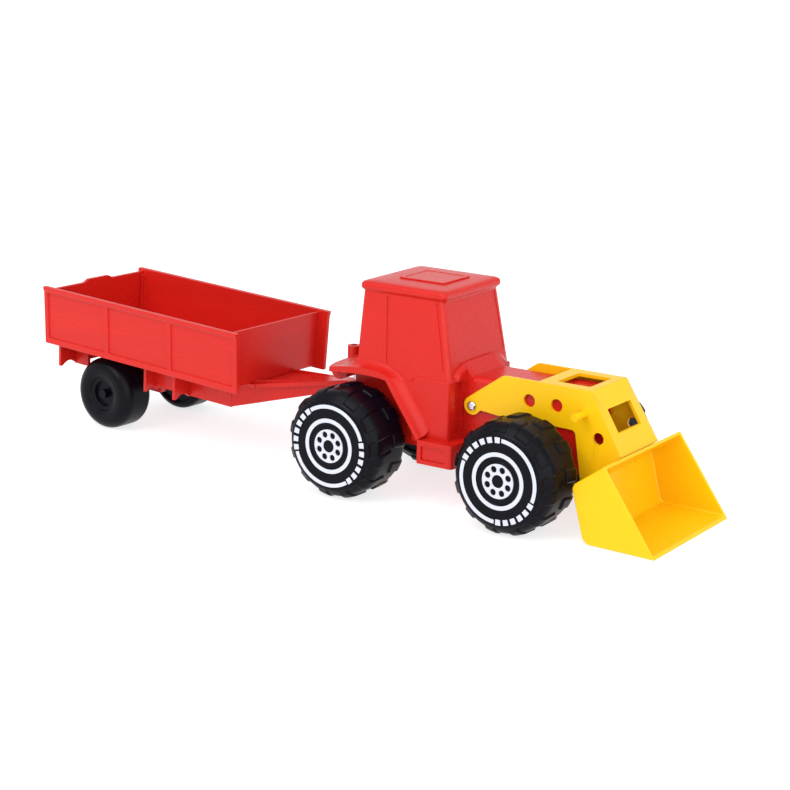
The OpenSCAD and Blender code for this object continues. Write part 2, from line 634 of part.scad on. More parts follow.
// ---------- assembly ----------
body();
chassis();
loader_pin();
hitch_pin();
loader_frame();
bucket();
bucket_pin();
axle(0);  // rear_axle
axle_caps(0);  // rear_axle_caps
rear_place(-1, tyre_y) tyre();  // tyre_rear_right
rear_place(1, tyre_y) tyre();  // tyre_rear_left
rear_place(-1, tyre_y + hub_t - hub_sink) hub();  // hub_rear_right
rear_place(1, tyre_y + hub_t - hub_sink) hub();  // hub_rear_left
rear_place(-1, face_y) tyre_print(print_turn[0]);  // print_rear_right
rear_place(1, face_y) tyre_print(print_turn[0]);  // print_rear_left
axle(wheelbase);  // front_axle
axle_caps(wheelbase);  // front_axle_caps
front_place(-1, tyre_y) tyre();  // tyre_front_right
front_place(1, tyre_y) tyre();  // tyre_front_left
front_place(-1, tyre_y + hub_t - hub_sink) hub();  // hub_front_right
front_place(1, tyre_y + hub_t - hub_sink) hub();  // hub_front_left
front_place(-1, face_y) tyre_print(print_turn[1]);  // print_front_right
front_place(1, face_y) tyre_print(print_turn[1]);  // print_front_left
trailer_chassis();
trailer_box();
tailgate();
trailer_axle();
trailer_axle_caps();
cart_wheel(-1);  // trailer_wheel_right
cart_wheel(1);  // trailer_wheel_left
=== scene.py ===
"""Sandpit tractor with front loader and trailer: the looks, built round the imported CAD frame.

Shapes are modelled in millimetres. Tractor pieces use x forwards from the rear axle, y to the left and
z up from the ground. Trailer pieces use the same axes from the middle of the trailer's own axle, and
turn with the trailer. A side is -1 for the right and +1 for the left.
"""
import json
import math

import bmesh
import bpy
from mathutils import Matrix, Vector


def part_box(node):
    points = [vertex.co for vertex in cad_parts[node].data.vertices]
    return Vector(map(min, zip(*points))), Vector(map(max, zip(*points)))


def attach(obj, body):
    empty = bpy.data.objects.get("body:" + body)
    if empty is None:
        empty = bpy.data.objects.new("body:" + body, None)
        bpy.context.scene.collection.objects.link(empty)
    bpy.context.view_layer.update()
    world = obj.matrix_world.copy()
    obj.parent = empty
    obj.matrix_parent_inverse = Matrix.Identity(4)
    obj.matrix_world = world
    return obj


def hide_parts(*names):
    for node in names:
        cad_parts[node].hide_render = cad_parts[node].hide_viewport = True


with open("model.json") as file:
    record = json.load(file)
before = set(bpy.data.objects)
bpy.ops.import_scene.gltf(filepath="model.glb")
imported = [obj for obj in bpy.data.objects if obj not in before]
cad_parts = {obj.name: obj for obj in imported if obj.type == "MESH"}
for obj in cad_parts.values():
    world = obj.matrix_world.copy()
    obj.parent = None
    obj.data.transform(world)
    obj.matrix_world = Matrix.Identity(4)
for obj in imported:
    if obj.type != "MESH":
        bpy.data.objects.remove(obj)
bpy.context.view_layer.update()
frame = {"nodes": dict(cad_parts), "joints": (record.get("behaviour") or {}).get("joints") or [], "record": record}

MM = 0.001
SIDES = ((-1, "right"), (1, "left"))
JOINTS = {j["name"]: j for j in frame["joints"]}


# ---------------------------------------------------------------- places from the frame
def joint_point(name):
    return Vector(JOINTS[name]["pos_m"])


def axes_matrix(x, y, z, origin):
    """Placement whose local axes are x, y, z, taking millimetres to metres."""
    turn = Matrix((x, y, z)).transposed().to_4x4()
    return Matrix.Translation(origin) @ turn @ Matrix.Scale(MM, 4)


rear_axle = joint_point("rear_wheels_roll")
front_axle = joint_point("front_wheels_roll")
TYRE_R = rear_axle.z / MM
WHEELBASE = (front_axle.x - rear_axle.x) / MM
TRACTOR = axes_matrix((1, 0, 0), (0, 1, 0), (0, 0, 1), (rear_axle.x, 0, 0))

cart_axle = joint_point("trailer_wheels_roll")
cart_left = Vector(JOINTS["trailer_wheels_roll"]["axis"]).normalized()
cart_up = Vector(JOINTS["tailgate_lift"]["axis"]).normalized()
TRAILER = axes_matrix(cart_left.cross(cart_up), cart_left, cart_up, cart_axle)
CART_R = cart_axle.z / MM


# ---------------------------------------------------------------- outlines
def fillet(points, radii, steps=4):
    """Outline with its corners rounded; radii is one number, or one for each corner."""
    count = len(points)
    radii = radii if hasattr(radii, "__len__") else [radii] * count
    out = []
    for i in range(count):
        corner = Vector(points[i])
        back = Vector(points[i - 1]) - corner
        on = Vector(points[(i + 1) % count]) - corner
        half = back.angle(on) / 2
        if radii[i] <= 0 or half > math.radians(89):
            out.append(corner)
            continue
        reach = min(radii[i] / math.tan(half), 0.49 * back.length, 0.49 * on.length)
        radius = reach * math.tan(half)
        back.normalize()
        on.normalize()
        centre = corner + (back + on).normalized() * (radius / math.sin(half))
        first, last = corner + back * reach - centre, corner + on * reach - centre
        start = math.atan2(first.y, first.x)
        sweep = math.atan2(last.y, last.x) - start
        sweep = (sweep + math.pi) % (2 * math.pi) - math.pi
        for k in range(steps + 1):
            a = start + sweep * k / steps
            out.append(centre + radius * Vector((math.cos(a), math.sin(a))))
    return out


def arc(centre, radius, start, end, steps=8):
    """Points of an arc, angles in degrees."""
    turns = [math.radians(start + (end - start) * k / steps) for k in range(steps + 1)]
    return [(centre[0] + radius * math.cos(a), centre[1] + radius * math.sin(a)) for a in turns]


def across(side, near, far):
    """Both ends, in rising order, of a stretch of y between two distances from the middle."""
    return sorted((side * near, side * far))


def rectangle(x0, x1, half, radius, steps=4):
    """Rounded rectangle in plan, symmetrical about y = 0."""
    return fillet([(x0, -half), (x1, -half), (x1, half), (x0, half)], radius, steps)


def bezier(a, control, b, steps):
    """Points of a quadratic curve, without its last one."""
    a, control, b = Vector(a), Vector(control), Vector(b)
    shares = [k / steps for k in range(steps)]
    return [a * (1 - t) ** 2 + control * 2 * t * (1 - t) + b * t * t for t in shares]


# ---------------------------------------------------------------- solids
def new_object(name, bm):
    """Turns a bmesh into an object of the scene, with its faces pointing outwards."""
    bmesh.ops.recalc_face_normals(bm, faces=bm.faces)
    mesh = bpy.data.meshes.new(name)
    bm.to_mesh(mesh)
    bm.free()
    obj = bpy.data.objects.new(name, mesh)
    bpy.context.scene.collection.objects.link(obj)
    return obj


def loft(rings):
    """Closed solid through rings that have the same number of points."""
    bm = bmesh.new()
    made = [[bm.verts.new(p) for p in ring] for ring in rings]
    count = len(made[0])
    for lower, upper in zip(made, made[1:]):
        for i in range(count):
            j = (i + 1) % count
            bm.faces.new((lower[i], lower[j], upper[j], upper[i]))
    bm.faces.new(list(reversed(made[0])))
    bm.faces.new(made[-1])
    return new_object("part", bm)


def prism(outline, axis, start, end):
    """Closed solid of an outline, x-z along y, y-z along x or x-y along z."""
    places = {"x": lambda a, b, t: (t, a, b),
              "y": lambda a, b, t: (a, t, b),
              "z": lambda a, b, t: (a, b, t)}
    place = places[axis]
    return loft([[place(p[0], p[1], t) for p in outline] for t in (start, end)])


def block(lo, hi):
    """Box between two opposite corners."""
    return prism([(lo[0], lo[1]), (hi[0], lo[1]), (hi[0], hi[1]), (lo[0], hi[1])], "z", lo[2], hi[2])


def rod(x, z, radius, y0, y1, steps=40):
    """Round bar along y."""
    return prism(arc((x, z), radius, 0, 360 * (steps - 1) / steps, steps - 1), "y", y0, y1)


def levels(rows, corner_steps=4):
    """Loft of rounded rectangles; each row is z, x0, x1, half width, corner radius."""
    rings = []
    for z, x0, x1, half, radius in rows:
        rings.append([(p.x, p.y, z) for p in rectangle(x0, x1, half, radius, corner_steps)])
    return loft(rings)


def closed_round(bm, rings):
    """Ring-shaped solid through closed sections that stand round an axis."""
    for k, ring in enumerate(rings):
        after = rings[(k + 1) % len(rings)]
        for i in range(len(ring)):
            j = (i + 1) % len(ring)
            bm.faces.new((ring[i], after[i], after[j], ring[j]))
    return new_object("part", bm)


def lathe(profile, steps):
    """Solid of revolution about local z of a closed (radius, z) profile."""
    bm = bmesh.new()
    rings = []
    for k in range(steps):
        a = 2 * math.pi * k / steps
        rings.append([bm.verts.new((r * math.cos(a), r * math.sin(a), z)) for r, z in profile])
    return closed_round(bm, rings)


def apply_modifiers(obj):
    """Keeps the shape that the object's modifiers give it, and drops the modifiers."""
    graph = bpy.context.evaluated_depsgraph_get()
    mesh = bpy.data.meshes.new_from_object(obj.evaluated_get(graph))
    obj.modifiers.clear()
    obj.data = mesh
    return obj


def boolean(base, others, operation):
    """Combines the base with the others, which are used up."""
    for other in others:
        modifier = base.modifiers.new("boolean", "BOOLEAN")
        modifier.solver = "EXACT"
        modifier.operation = operation
        modifier.object = other
    apply_modifiers(base)
    for other in others:
        bpy.data.objects.remove(other)
    return base


def union(base, *others):
    return boolean(base, others, "UNION")


def cut(base, *others):
    return boolean(base, others, "DIFFERENCE")


def merge_flat(obj, distance=0.005, angle=0.5):
    """Joins the coplanar faces that a boolean leaves, so that a bevel runs clean."""
    bm = bmesh.new()
    bm.from_mesh(obj.data)
    bmesh.ops.remove_doubles(bm, verts=bm.verts, dist=distance)
    bmesh.ops.dissolve_limit(bm, angle_limit=math.radians(angle), verts=bm.verts, edges=bm.edges)
    bm.to_mesh(obj.data)
    bm.free()
    return obj


def mirrored(make):
    """make(side) for the right side, -1, and the left side, +1."""
    return [make(-1), make(1)]


SMOOTH_UP_TO = 48  # degrees between faces


def soften(obj, width, segments=2, angle=28, keep=False, clamp=True):
    """Rounds every edge sharper than the angle, as moulded plastic has, and shades flat faces flat.

    keep leaves the modifiers on the object, and clamp keeps the rounding within the shortest edge.
    """
    weld = obj.modifiers.new("weld", "WELD")
    weld.merge_threshold = width / 40
    bevel = obj.modifiers.new("bevel", "BEVEL")
    bevel.width = width
    bevel.segments = segments
    bevel.limit_method = "ANGLE"
    bevel.angle_limit = math.radians(angle)
    bevel.use_clamp_overlap = clamp
    bevel.miter_outer = "MITER_ARC"
    obj.data.shade_smooth()
    if not keep:
        apply_modifiers(obj)
        obj.data.set_sharp_from_angle(angle=math.radians(SMOOTH_UP_TO))
    normals = obj.modifiers.new("normals", "WEIGHTED_NORMAL")
    normals.keep_sharp = True
    return obj


def piece(obj, name, placement, body, material, nodes):
    """Puts a finished shape in its place, on its body, in place of its CAD nodes."""
    apply_modifiers(obj)
    obj.name = name
    obj.data.name = name
    obj.data.transform(placement)
    if placement.determinant() < 0:
        obj.data.flip_normals()
    obj.data.materials.clear()
    obj.data.materials.append(material)
    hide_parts(*nodes)
    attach(obj, body)
    return obj


# ---------------------------------------------------------------- materials
MARKS_FROM, MARKS_TO = 0.3, 0.7  # the part of a noise's range that shows
FLOW_SCALE, WAVE_SCALE, SCUFF_SCALE, GRAIN_SCALE = 28, 45, 420, 2200
WAVE_DEPTH, GRAIN_DEPTH = 0.0008, 0.0001


def moulded_plastic(name, color, roughness, shade=0.03, grain=0.04, waviness=0.08, gloss=0.3,
                    streaks=(1, 1, 1)):
    """Glossy moulded plastic: flow marks, sink waves, fine grain and scuffs.

    A streaks value below 1 draws the marks out along that axis.
    """
    material = bpy.data.materials.new(name)
    material.use_nodes = True
    nodes, links = material.node_tree.nodes, material.node_tree.links
    shader = nodes["Principled BSDF"]
    shader.inputs["IOR"].default_value = 1.5
    shader.inputs["Specular IOR Level"].default_value = gloss
    place = nodes.new("ShaderNodeTexCoord")
    stretch = nodes.new("ShaderNodeMapping")
    stretch.inputs["Scale"].default_value = streaks
    links.new(place.outputs["Object"], stretch.inputs["Vector"])

    def noise(scale, detail, distortion=0.0):
        node = nodes.new("ShaderNodeTexNoise")
        node.inputs["Scale"].default_value = scale
        node.inputs["Detail"].default_value = detail
        node.inputs["Distortion"].default_value = distortion
        links.new(stretch.outputs["Vector"], node.inputs["Vector"])
        return node

    def spread(source, low, high):
        node = nodes.new("ShaderNodeMapRange")
        node.inputs["From Min"].default_value = MARKS_FROM
        node.inputs["From Max"].default_value = MARKS_TO
        node.inputs["To Min"].default_value = low
        node.inputs["To Max"].default_value = high
        links.new(source, node.inputs["Value"])
        return node.outputs["Result"]

    flow = noise(FLOW_SCALE, 3, 0.6)
    ramp = nodes.new("ShaderNodeValToRGB")
    dark, light = ramp.color_ramp.elements
    dark.position, light.position = MARKS_FROM, MARKS_TO
    dark.color = [*(c * (1 - shade) for c in color), 1]
    light.color = [*(min(1, c * (1 + shade)) for c in color), 1]
    links.new(flow.outputs["Fac"], ramp.inputs["Fac"])
    links.new(ramp.outputs["Color"], shader.inputs["Base Color"])
    scuffs = noise(SCUFF_SCALE, 4, 1.2)
    rough = spread(scuffs.outputs["Fac"], roughness * 0.85, roughness * 1.25)
    links.new(rough, shader.inputs["Roughness"])
    waves = nodes.new("ShaderNodeBump")
    waves.inputs["Strength"].default_value = waviness
    waves.inputs["Distance"].default_value = WAVE_DEPTH
    links.new(noise(WAVE_SCALE, 1).outputs["Fac"], waves.inputs["Height"])
    fine = nodes.new("ShaderNodeBump")
    fine.inputs["Strength"].default_value = grain
    fine.inputs["Distance"].default_value = GRAIN_DEPTH
    links.new(noise(GRAIN_SCALE, 2).outputs["Fac"], fine.inputs["Height"])
    links.new(waves.outputs["Normal"], fine.inputs["Normal"])
    links.new(fine.outputs["Normal"], shader.inputs["Normal"])
    return material


def plated_steel(name):
    """Zinc-plated rod, metallic under the same fine grain and scuffs."""
    material = moulded_plastic(name, (0.62, 0.63, 0.66), 0.24, shade=0.08, grain=0.1, waviness=0.05,
                               gloss=0.5)
    material.node_tree.nodes["Principled BSDF"].inputs["Metallic"].default_value = 1.0
    return material


RED_TONE = (0.54, 0.0115, 0.007)
RED = moulded_plastic("red_plastic", RED_TONE, 0.28, waviness=0.045, gloss=0.26)
BRUSHED_RED = moulded_plastic("brushed_red_plastic", RED_TONE, 0.3, shade=0.05, grain=0.06, waviness=0.12,
                              gloss=0.25, streaks=(0.12, 1, 2.2))
YELLOW = moulded_plastic("yellow_plastic", (0.84, 0.475, 0.003), 0.3, waviness=0.05, gloss=0.22)
BLACK = moulded_plastic("black_plastic", (0.0018, 0.0018, 0.0046), 0.3, shade=0.15, grain=0.1,
                        waviness=0.06, gloss=0.11)
WHITE = moulded_plastic("white_print", (0.56, 0.575, 0.63), 0.4, shade=0.02)
STEEL = plated_steel("plated_steel")
SLOT_MATERIALS = {"red": RED, "yellow": YELLOW, "black": BLACK, "white": WHITE, "steel": STEEL}


# ---------------------------------------------------------------- tractor body
CAB_LOW_Z, CAB_HIGH_Z = 85, 147
CAB_LOW = (-6, 76, 41.3)       # rear x, front x and half width of the walls at CAB_LOW_Z
CAB_HIGH = (-1.8, 64.6, 37)    # and at CAB_HIGH_Z
CAB_TOP_Z = 146.8
RIM = (-4, 67.8, 39)           # the same for the roof's rim
PLAQUE = (15.5, 53.5, 18)      # and for the plaque on the roof
PLAQUE_BORDER = 3
GROOVE_HALF, GROOVE_DEPTH = 1.1, 0.55
GROOVE_Z = (97, 144)
GROOVE_X = ((22.5, 20.1), (70.2, 61.2))  # at the foot and at the top
DOOR_HALF = 42                 # half width of the lower cab
SEAM_Z = 90.5                  # the step between lower cab and walls
DECK_HALF = 50
HOOD_HALF, HOOD_TOP, HOOD_FRONT = 22.4, 92.5, 171
STEP_X, STEP_Z = (55.5, 84.5), (31, 48)
STEP_HALF = 50.5
SOCKET_X, SOCKET_R, SOCKET_HOLE_R = -34.5, 4.7, 2.4
AXLE_ROOM_R = 8.3


def cab_side(z):
    """Rear x, front x and half width of the cab's walls at a height."""
    share = (z - CAB_LOW_Z) / (CAB_HIGH_Z - CAB_LOW_Z)
    return [a + (b - a) * share for a, b in zip(CAB_LOW, CAB_HIGH)]


def inside(limits, inset):
    """Rear x, front x and half width of a rectangle, moved in by an inset."""
    return limits[0] + inset, limits[1] - inset, limits[2] - inset


def cab():
    """Tapered walls under a domed roof with a rounded rim and a plain plaque."""
    walls = levels([(CAB_LOW_Z, *cab_side(CAB_LOW_Z), 5), (CAB_TOP_Z, *cab_side(CAB_TOP_Z), 3.4)], 6)
    edge = [(144.2, 2.4), (145.6, 1.75), (146.5, 1), (147.1, 0.4), (147.9, 0.05), (148.8, 0), (150, 0),
            (150.9, 0.3), (151.7, 0.9), (152.3, 2), (152.7, 3.8), (153, 7), (153.3, 14), (153.5, 24)]
    roof = levels([(z, *inside(RIM, inset), 4.5) for z, inset in edge], 6)
    plaque = levels([(152.6, *PLAQUE, 2), (154.1, *PLAQUE, 2), (154.5, *inside(PLAQUE, 0.4), 1.8)])
    field = inside(PLAQUE, PLAQUE_BORDER)
    panel = levels([(154.25, *field, 1.2), (156, *field, 1.2)])
    return union(walls, roof, cut(plaque, panel))


def sloping_cut(low, high, z0, z1):
    """Cutter between two (x0, x1, y0, y1) rectangles."""
    rings = []
    for (x0, x1, y0, y1), z in ((low, z0), (high, z1)):
        rings.append([(x0, y0, z), (x1, y0, z), (x1, y1, z), (x0, y1, z)])
    return loft(rings)


def cab_lines():
    """Recessed windscreen and rear window, and the wide grooves beside each door."""
    low_x, high_x = cab_side(101)[1], cab_side(143)[1]
    cutters = [sloping_cut((low_x - 0.45, 90, -35, 35), (high_x - 0.45, 80, -32, 32), 101.4, 143)]
    low_x, high_x = cab_side(100)[0], cab_side(138)[0]
    cutters.append(sloping_cut((-20, low_x + 0.8, -30, 30), (-20, high_x + 0.8, -28, 28), 100, 138))
    for side, _ in SIDES:
        for xs in GROOVE_X:
            ends = []
            for x, z in zip(xs, GROOVE_Z):
                y0, y1 = across(side, cab_side(z)[2] - GROOVE_DEPTH, 50)
                ends.append((x - GROOVE_HALF, x + GROOVE_HALF, y0, y1))
            cutters.append(sloping_cut(*ends, *GROOVE_Z))
    return cutters


def cowl():
    """Arched sill under the windscreen that slopes down to the bonnet."""
    arch = [(-36, 92.6), (-34, 95), (-31, 97.4), (-27, 99.4), (-22, 100.7), (-16, 101.2)]
    foot = [(-24, 90), (-23, 91), (-22, 91.7), (-20.5, 92.1), (-18.5, 92.35), (-15, 92.4)]
    rings = []
    for x, half in ((70, arch), (74.6, arch), (82.5, foot)):
        half = [(half[0][0], 88), *half]
        rings.append([(x, y, z) for y, z in half] + [(x, -y, z) for y, z in reversed(half)])
    return cut(loft(rings), *mirrored(arm_room))


def arm_room(side):
    """Space that a lifted arm sweeps, in front of the windscreen."""
    y0, y1 = across(side, ARM_IN - 0.5, 40)
    return block((77.3, y0, 85), (90, y1, 105))


GUARD_TOP, GUARD_FOOT = Vector((27.2, 86.4)), Vector((54.4, 47.2))  # x, z of its lower face
GUARD_T = Vector((0.822, 0.569)) * 3.1  # from its lower face to its upper one
FENDER_ROOT = 37                        # y within the cab, where each fender closes


def fender(side):
    """Fender top that sweeps out of the cab wall and runs down in front of the wheel as a mudguard."""
    lip = [  # lower edge x, z; upper edge x, z; foot of the cab wall x, z
        (-21.5, 85.6, -21.5, 88.9, -21.5, 88.8), (-13, 86.2, -13, 90.6, -13, 89.6),
        (-6, 86.8, -6, 91.6, -6, 90.4), (-4.8, 86.9, -4.8, 91.7, -4.8, 95.8), (2, 87.4, 2, 92.2, 2, 96.8),
        (9, 87.5, 9, 92.1, 9, 96.8), (15.6, 87.5, 15.5, 91.7, 16, 96.4), (21, 87.1, 21.6, 91, 24, 95),
        (25, 86.6, 26.6, 89.8, 34, 91)]
    guard = [  # share of the way down, and x, z where it meets the cab wall
        (0, 41, 84.6), (0.12, 43.6, 81), (0.3, 47.6, 75.5), (0.5, 52.6, 69.6), (0.72, 57, 63.4),
        (1, 60.6, 56)]
    for share, inner_x, inner_z in guard:
        under = GUARD_TOP.lerp(GUARD_FOOT, share)
        ridge = under + GUARD_T
        lip.append((*under, *ridge, inner_x, inner_z))
    rings = []
    for under_x, under_z, x, z, inner_x, inner_z in lip:
        under = Vector((under_x, DECK_HALF, under_z))
        top = Vector((x, DECK_HALF - 0.4, z))
        inner = Vector((inner_x, DOOR_HALF - 0.6 if inner_x > 40 else 40, inner_z))
        control = Vector((x + (inner_x - x) * 0.3, 42.6, z + (inner_z - z) * 0.12))
        ring = [*bezier(top, control, inner, 7), inner]
        ring += [Vector((inner.x, FENDER_ROOT, inner.z)), Vector((under.x, FENDER_ROOT, under.z)), under]
        rings.append([(p.x, side * p.y, p.z) for p in ring])
    return loft(rings)


def bonnet():
    """Bonnet with rounded shoulders and front corners, and the recess of its grille."""
    section = [(-HOOD_HALF, 37), (HOOD_HALF, 37), (HOOD_HALF, HOOD_TOP), (-HOOD_HALF, HOOD_TOP)]
    hood = prism(fillet(section, [0, 0, 4.5, 4.5], 5), "x", 72, HOOD_FRONT)
    half = HOOD_HALF + 1
    plan = [(60, -half), (HOOD_FRONT, -half), (HOOD_FRONT, half), (60, half)]
    nose = prism(fillet(plan, [0, 7, 7, 0], 6), "z", 30, 100)
    boolean(hood, [nose], "INTERSECT")
    grille = prism(fillet([(157, 54.5), (190, 54.5), (190, 78), (166.5, 78)], [2, 0, 0, 2]), "y", -16.5, 16.5)
    return cut(hood, grille)


def lower_cab():
    """Door block under the seam, the core between the wheels and the wall that closes the wheel arch."""
    doors = levels([(44, 44, 75.5, DOOR_HALF, 2.4), (SEAM_Z - 0.8, 44, 75.5, DOOR_HALF, 2.4),
                    (SEAM_Z, 44.6, 74.9, DOOR_HALF - 0.7, 2)])
    arch = [(46.5, 59), (42.5, 66), (36, 76), (31, 84), (30, 87), (60, 87), (60, 59)]
    core = prism(fillet([(-12, 37), (76, 37), (76, 88), (-12, 88)], [0, 0, 0, 1.5]), "y", -30, 30)
    return [doors, prism(arch, "y", -DOOR_HALF, DOOR_HALF), core]


def rear_deck():
    """Flat tail behind the cab, the deck between the fenders and the socket that stands on it."""
    corner = [(-28.4, -7), (-26.2, -36), (-23.2, -46.5), (-19, -49.5), (-14, -49.5)]
    tail = prism([*corner, *((x, -y) for x, y in reversed(corner))], "z", 85.2, 88.8)
    section = [(-21.5, 85.6), (-21.5, 88.8), (-13, 89.6), (-4, 90), (20, 90), (28, 86), (26, 84)]
    deck = prism(section, "y", -38, 38)
    socket = prism(arc((SOCKET_X, 0), SOCKET_R, 0, 351, 39), "z", 84, 94)
    web = prism([(SOCKET_X, -4), (-20, -4), (-20, 4), (SOCKET_X, 4)], "z", 84.4, 87.6)
    return tail, deck, socket, web


def step(side):
    """Door step with one rounded corner, behind the front wheel."""
    outer, inner = side * STEP_HALF, side * 27
    plan = [(STEP_X[0], inner), (STEP_X[0], outer), (STEP_X[1], outer), (STEP_X[1], inner)]
    return prism(fillet(plan, [0, 0, 3, 0], 5), "z", *STEP_Z)


def lobe(side):
    """Rounded rib under each rear corner of the deck."""
    section = [(-28, 86), (-28, 80.5), (-24.5, 77.5), (-19, 77.5), (-15.5, 80.5), (-13, 86)]
    return prism(fillet(section, [0, 3, 3, 3, 3, 0]), "y", *across(side, 12, 37))


def body_hollows():
    """Cutters for the socket, the step panels, the slots beside the bonnet, the axles and the inside."""
    cutters = [prism(arc((SOCKET_X, 0), SOCKET_HOLE_R, 0, 351, 39), "z", 85, 100)]
    for side, _ in SIDES:
        panel = fillet([(58.7, 34), (78.8, 34), (78.8, 44.3), (58.7, 44.3)], 1)
        cutters.append(prism(panel, "y", *across(side, STEP_HALF - 1.4, 60)))
        y0, y1 = across(side, 25.5, 34.3)
        cutters.append(prism([(y0, 52), (y1, 52), (y1, 89.6), (y0, 89.6)], "x", 73, 90))
        for axle_x in (0, WHEELBASE):
            outline = arc((axle_x, TYRE_R), AXLE_ROOM_R, 0, 180, 16)
            slot = [(axle_x + AXLE_ROOM_R, 20), *outline, (axle_x - AXLE_ROOM_R, 20)]
            cutters.append(prism(slot, "y", *across(side, 15, 60)))
    cutters.append(prism([(-9.5, 36), (70, 36), (70, 85), (-9.5, 85)], "y", -27.5, 27.5))
    cutters.append(prism([(70, 36), (153, 36), (162, 88), (70, 88)], "y", -19.9, 19.9))
    for side, _ in SIDES:
        cutters.append(prism([(58, 30), (82, 30), (82, 44.6), (58, 44.6)], "y", *across(side, 26, 47.6)))
    return cutters


def body():
    shape = cut(cab(), *cab_lines())
    doors, arch, core = lower_cab()
    tail, deck, socket, web = rear_deck()
    parts = [doors, arch, bonnet(), core, tail, deck, cowl(), *mirrored(fender)]
    for side, _ in SIDES:
        parts += [step(side), lobe(side)]
    union(shape, *parts, socket, web)
    cut(shape, *body_hollows())
    soften(shape, 0.55)
    return piece(shape, "tractor_body", TRACTOR, "tractor", RED, ["body"])


# ---------------------------------------------------------------- loader
ARM_PIN = (84.4, 72.4)         # x, z of the cross pin
ARM_IN, ARM_OUT = 22.9, 25.2   # the faces of each side plate
ARM_TOP = 97.6
KNEE, FOOT = (178, ARM_TOP), (203.6, 55.9)  # upper and lower end of the front sheet
BUCKET_PIN = (178.5, 32.5)
FOLD = (160, 68.5)             # the plates lean outwards below and ahead of it
SPLAY = 0.0513
SHEET_T = 2.4
PIN_HOLE_R = 2.05
LEG_HOLE, LEG_HOLE_R = (185.2, 65.8), 4.2
SPOTS_X, SPOTS_Z, SPOT_R = (130, 151.5), 83.2, 4.6
PEG, PEG_R, PEG_END = (173.5, 81.3), 2.7, 40


def splay(obj, side):
    """Leans the part below and ahead of the fold outwards."""
    for v in obj.data.vertices:
        ahead = 0.865 * (v.co.x - FOLD[0]) + 0.502 * (FOLD[1] - v.co.z)
        v.co.y += side * SPLAY * max(0, ahead)
    return obj


def loader_side(side):
    """Side plate with its arm, its leaning leg and its peg."""
    arm = [*arc(ARM_PIN, 6.6, 128, 300, 18), (91.2, 69.9), (97, 69.5), (106, 68.5), FOLD, (170, 70),
           (177.5, ARM_TOP), *arc((110.5, ARM_TOP - 6), 6, 90, 126, 4)]
    leg = [FOLD, (165.2, 68.2), (167, 66.5), *arc(BUCKET_PIN, 5.5, 170, 398, 16), (185, 42), FOOT, KNEE,
           (170, ARM_TOP)]
    faces = across(side, ARM_IN, ARM_OUT)
    plate = union(prism(arm, "y", *faces), splay(prism(leg, "y", *faces), side))
    peg = prism(arc(PEG, PEG_R, 0, 348, 29), "y", *across(side, ARM_IN + 0.5, PEG_END))
    return union(plate, peg)


def front_sheet():
    """Sheet between the legs that widens towards its foot, with its window."""
    normal = Vector((0.846, 0.533)) * SHEET_T
    rings = []
    for (x, z), half in ((FOOT, ARM_OUT + SPLAY * 42.9), (KNEE, ARM_OUT + 0.3)):
        back_x, back_z = x - normal.x, z - normal.y
        rings.append([(back_x, -half, back_z), (x, -half, z), (x, half, z), (back_x, half, back_z)])
    window = loft([[(180, -16.5, 66), (212, -16.5, 73), (212, 16.5, 73), (180, 16.5, 66)],
                   [(172, -16.5, 81.5), (206, -16.5, 89), (206, 16.5, 89), (172, 16.5, 81.5)]])
    return cut(loft(rings), window)


def loader():
    shape = union(*mirrored(loader_side))
    top = block((136, -ARM_OUT, ARM_TOP - SHEET_T), (KNEE[0] - 0.3, ARM_OUT, ARM_TOP))
    window = fillet([(146, -15.5), (171.5, -15.5), (171.5, 15.5), (146, 15.5)], 1.2)
    cut(top, prism(window, "z", ARM_TOP - 4, ARM_TOP + 2))
    union(shape, top, front_sheet())
    cutters = []
    for side, _ in SIDES:
        y0, y1 = across(side, ARM_IN - 1, ARM_OUT + 6)
        cutters += [rod(*at, PIN_HOLE_R, y0, y1) for at in (ARM_PIN, BUCKET_PIN)]
        cutters.append(rod(*LEG_HOLE, LEG_HOLE_R, y0, y1))
        cutters += [rod(x, SPOTS_Z, SPOT_R, y0, y1) for x in SPOTS_X]
    cut(shape, *cutters)
    soften(shape, 0.5, 2, 24)
    return piece(shape, "loader_arms", TRACTOR, "loader", YELLOW, ["loader_frame"])


# ---------------------------------------------------------------- bucket
BUCKET_HALF = 56.8
BUCKET_WALL = 2.3
BUCKET_RIM = ((206, 57), (246.4, 0))  # x, z of its upper and lower lip
EAR = (27.6, 30.1)                    # from the middle to the faces of each ear


def bucket_side(wall):
    """Outline of the bucket seen from the side, moved in by a wall, that runs on past the rim."""
    return [(217, 65 - 1.25 * wall), *arc((189.2, 37.4), 6 - wall, 132, 191, 6),
            *arc((198.6, 8.2), 7.2 - wall, 192, 262, 8), (262, wall)]


def rounded_ends(obj, width):
    """Rounds only the long edges at the ends of a prism."""
    bevel = obj.modifiers.new("bevel", "BEVEL")
    bevel.width = width
    bevel.segments = 5
    bevel.limit_method = "ANGLE"
    bevel.angle_limit = math.radians(60)
    return apply_modifiers(obj)


def bucket_ear(side):
    """Ear behind the bucket that the cross pin runs through."""
    outline = [*arc(BUCKET_PIN, 4.8, 100, 280, 14), (187.4, 22), (186, 38)]
    return prism(outline, "y", *across(side, *EAR))


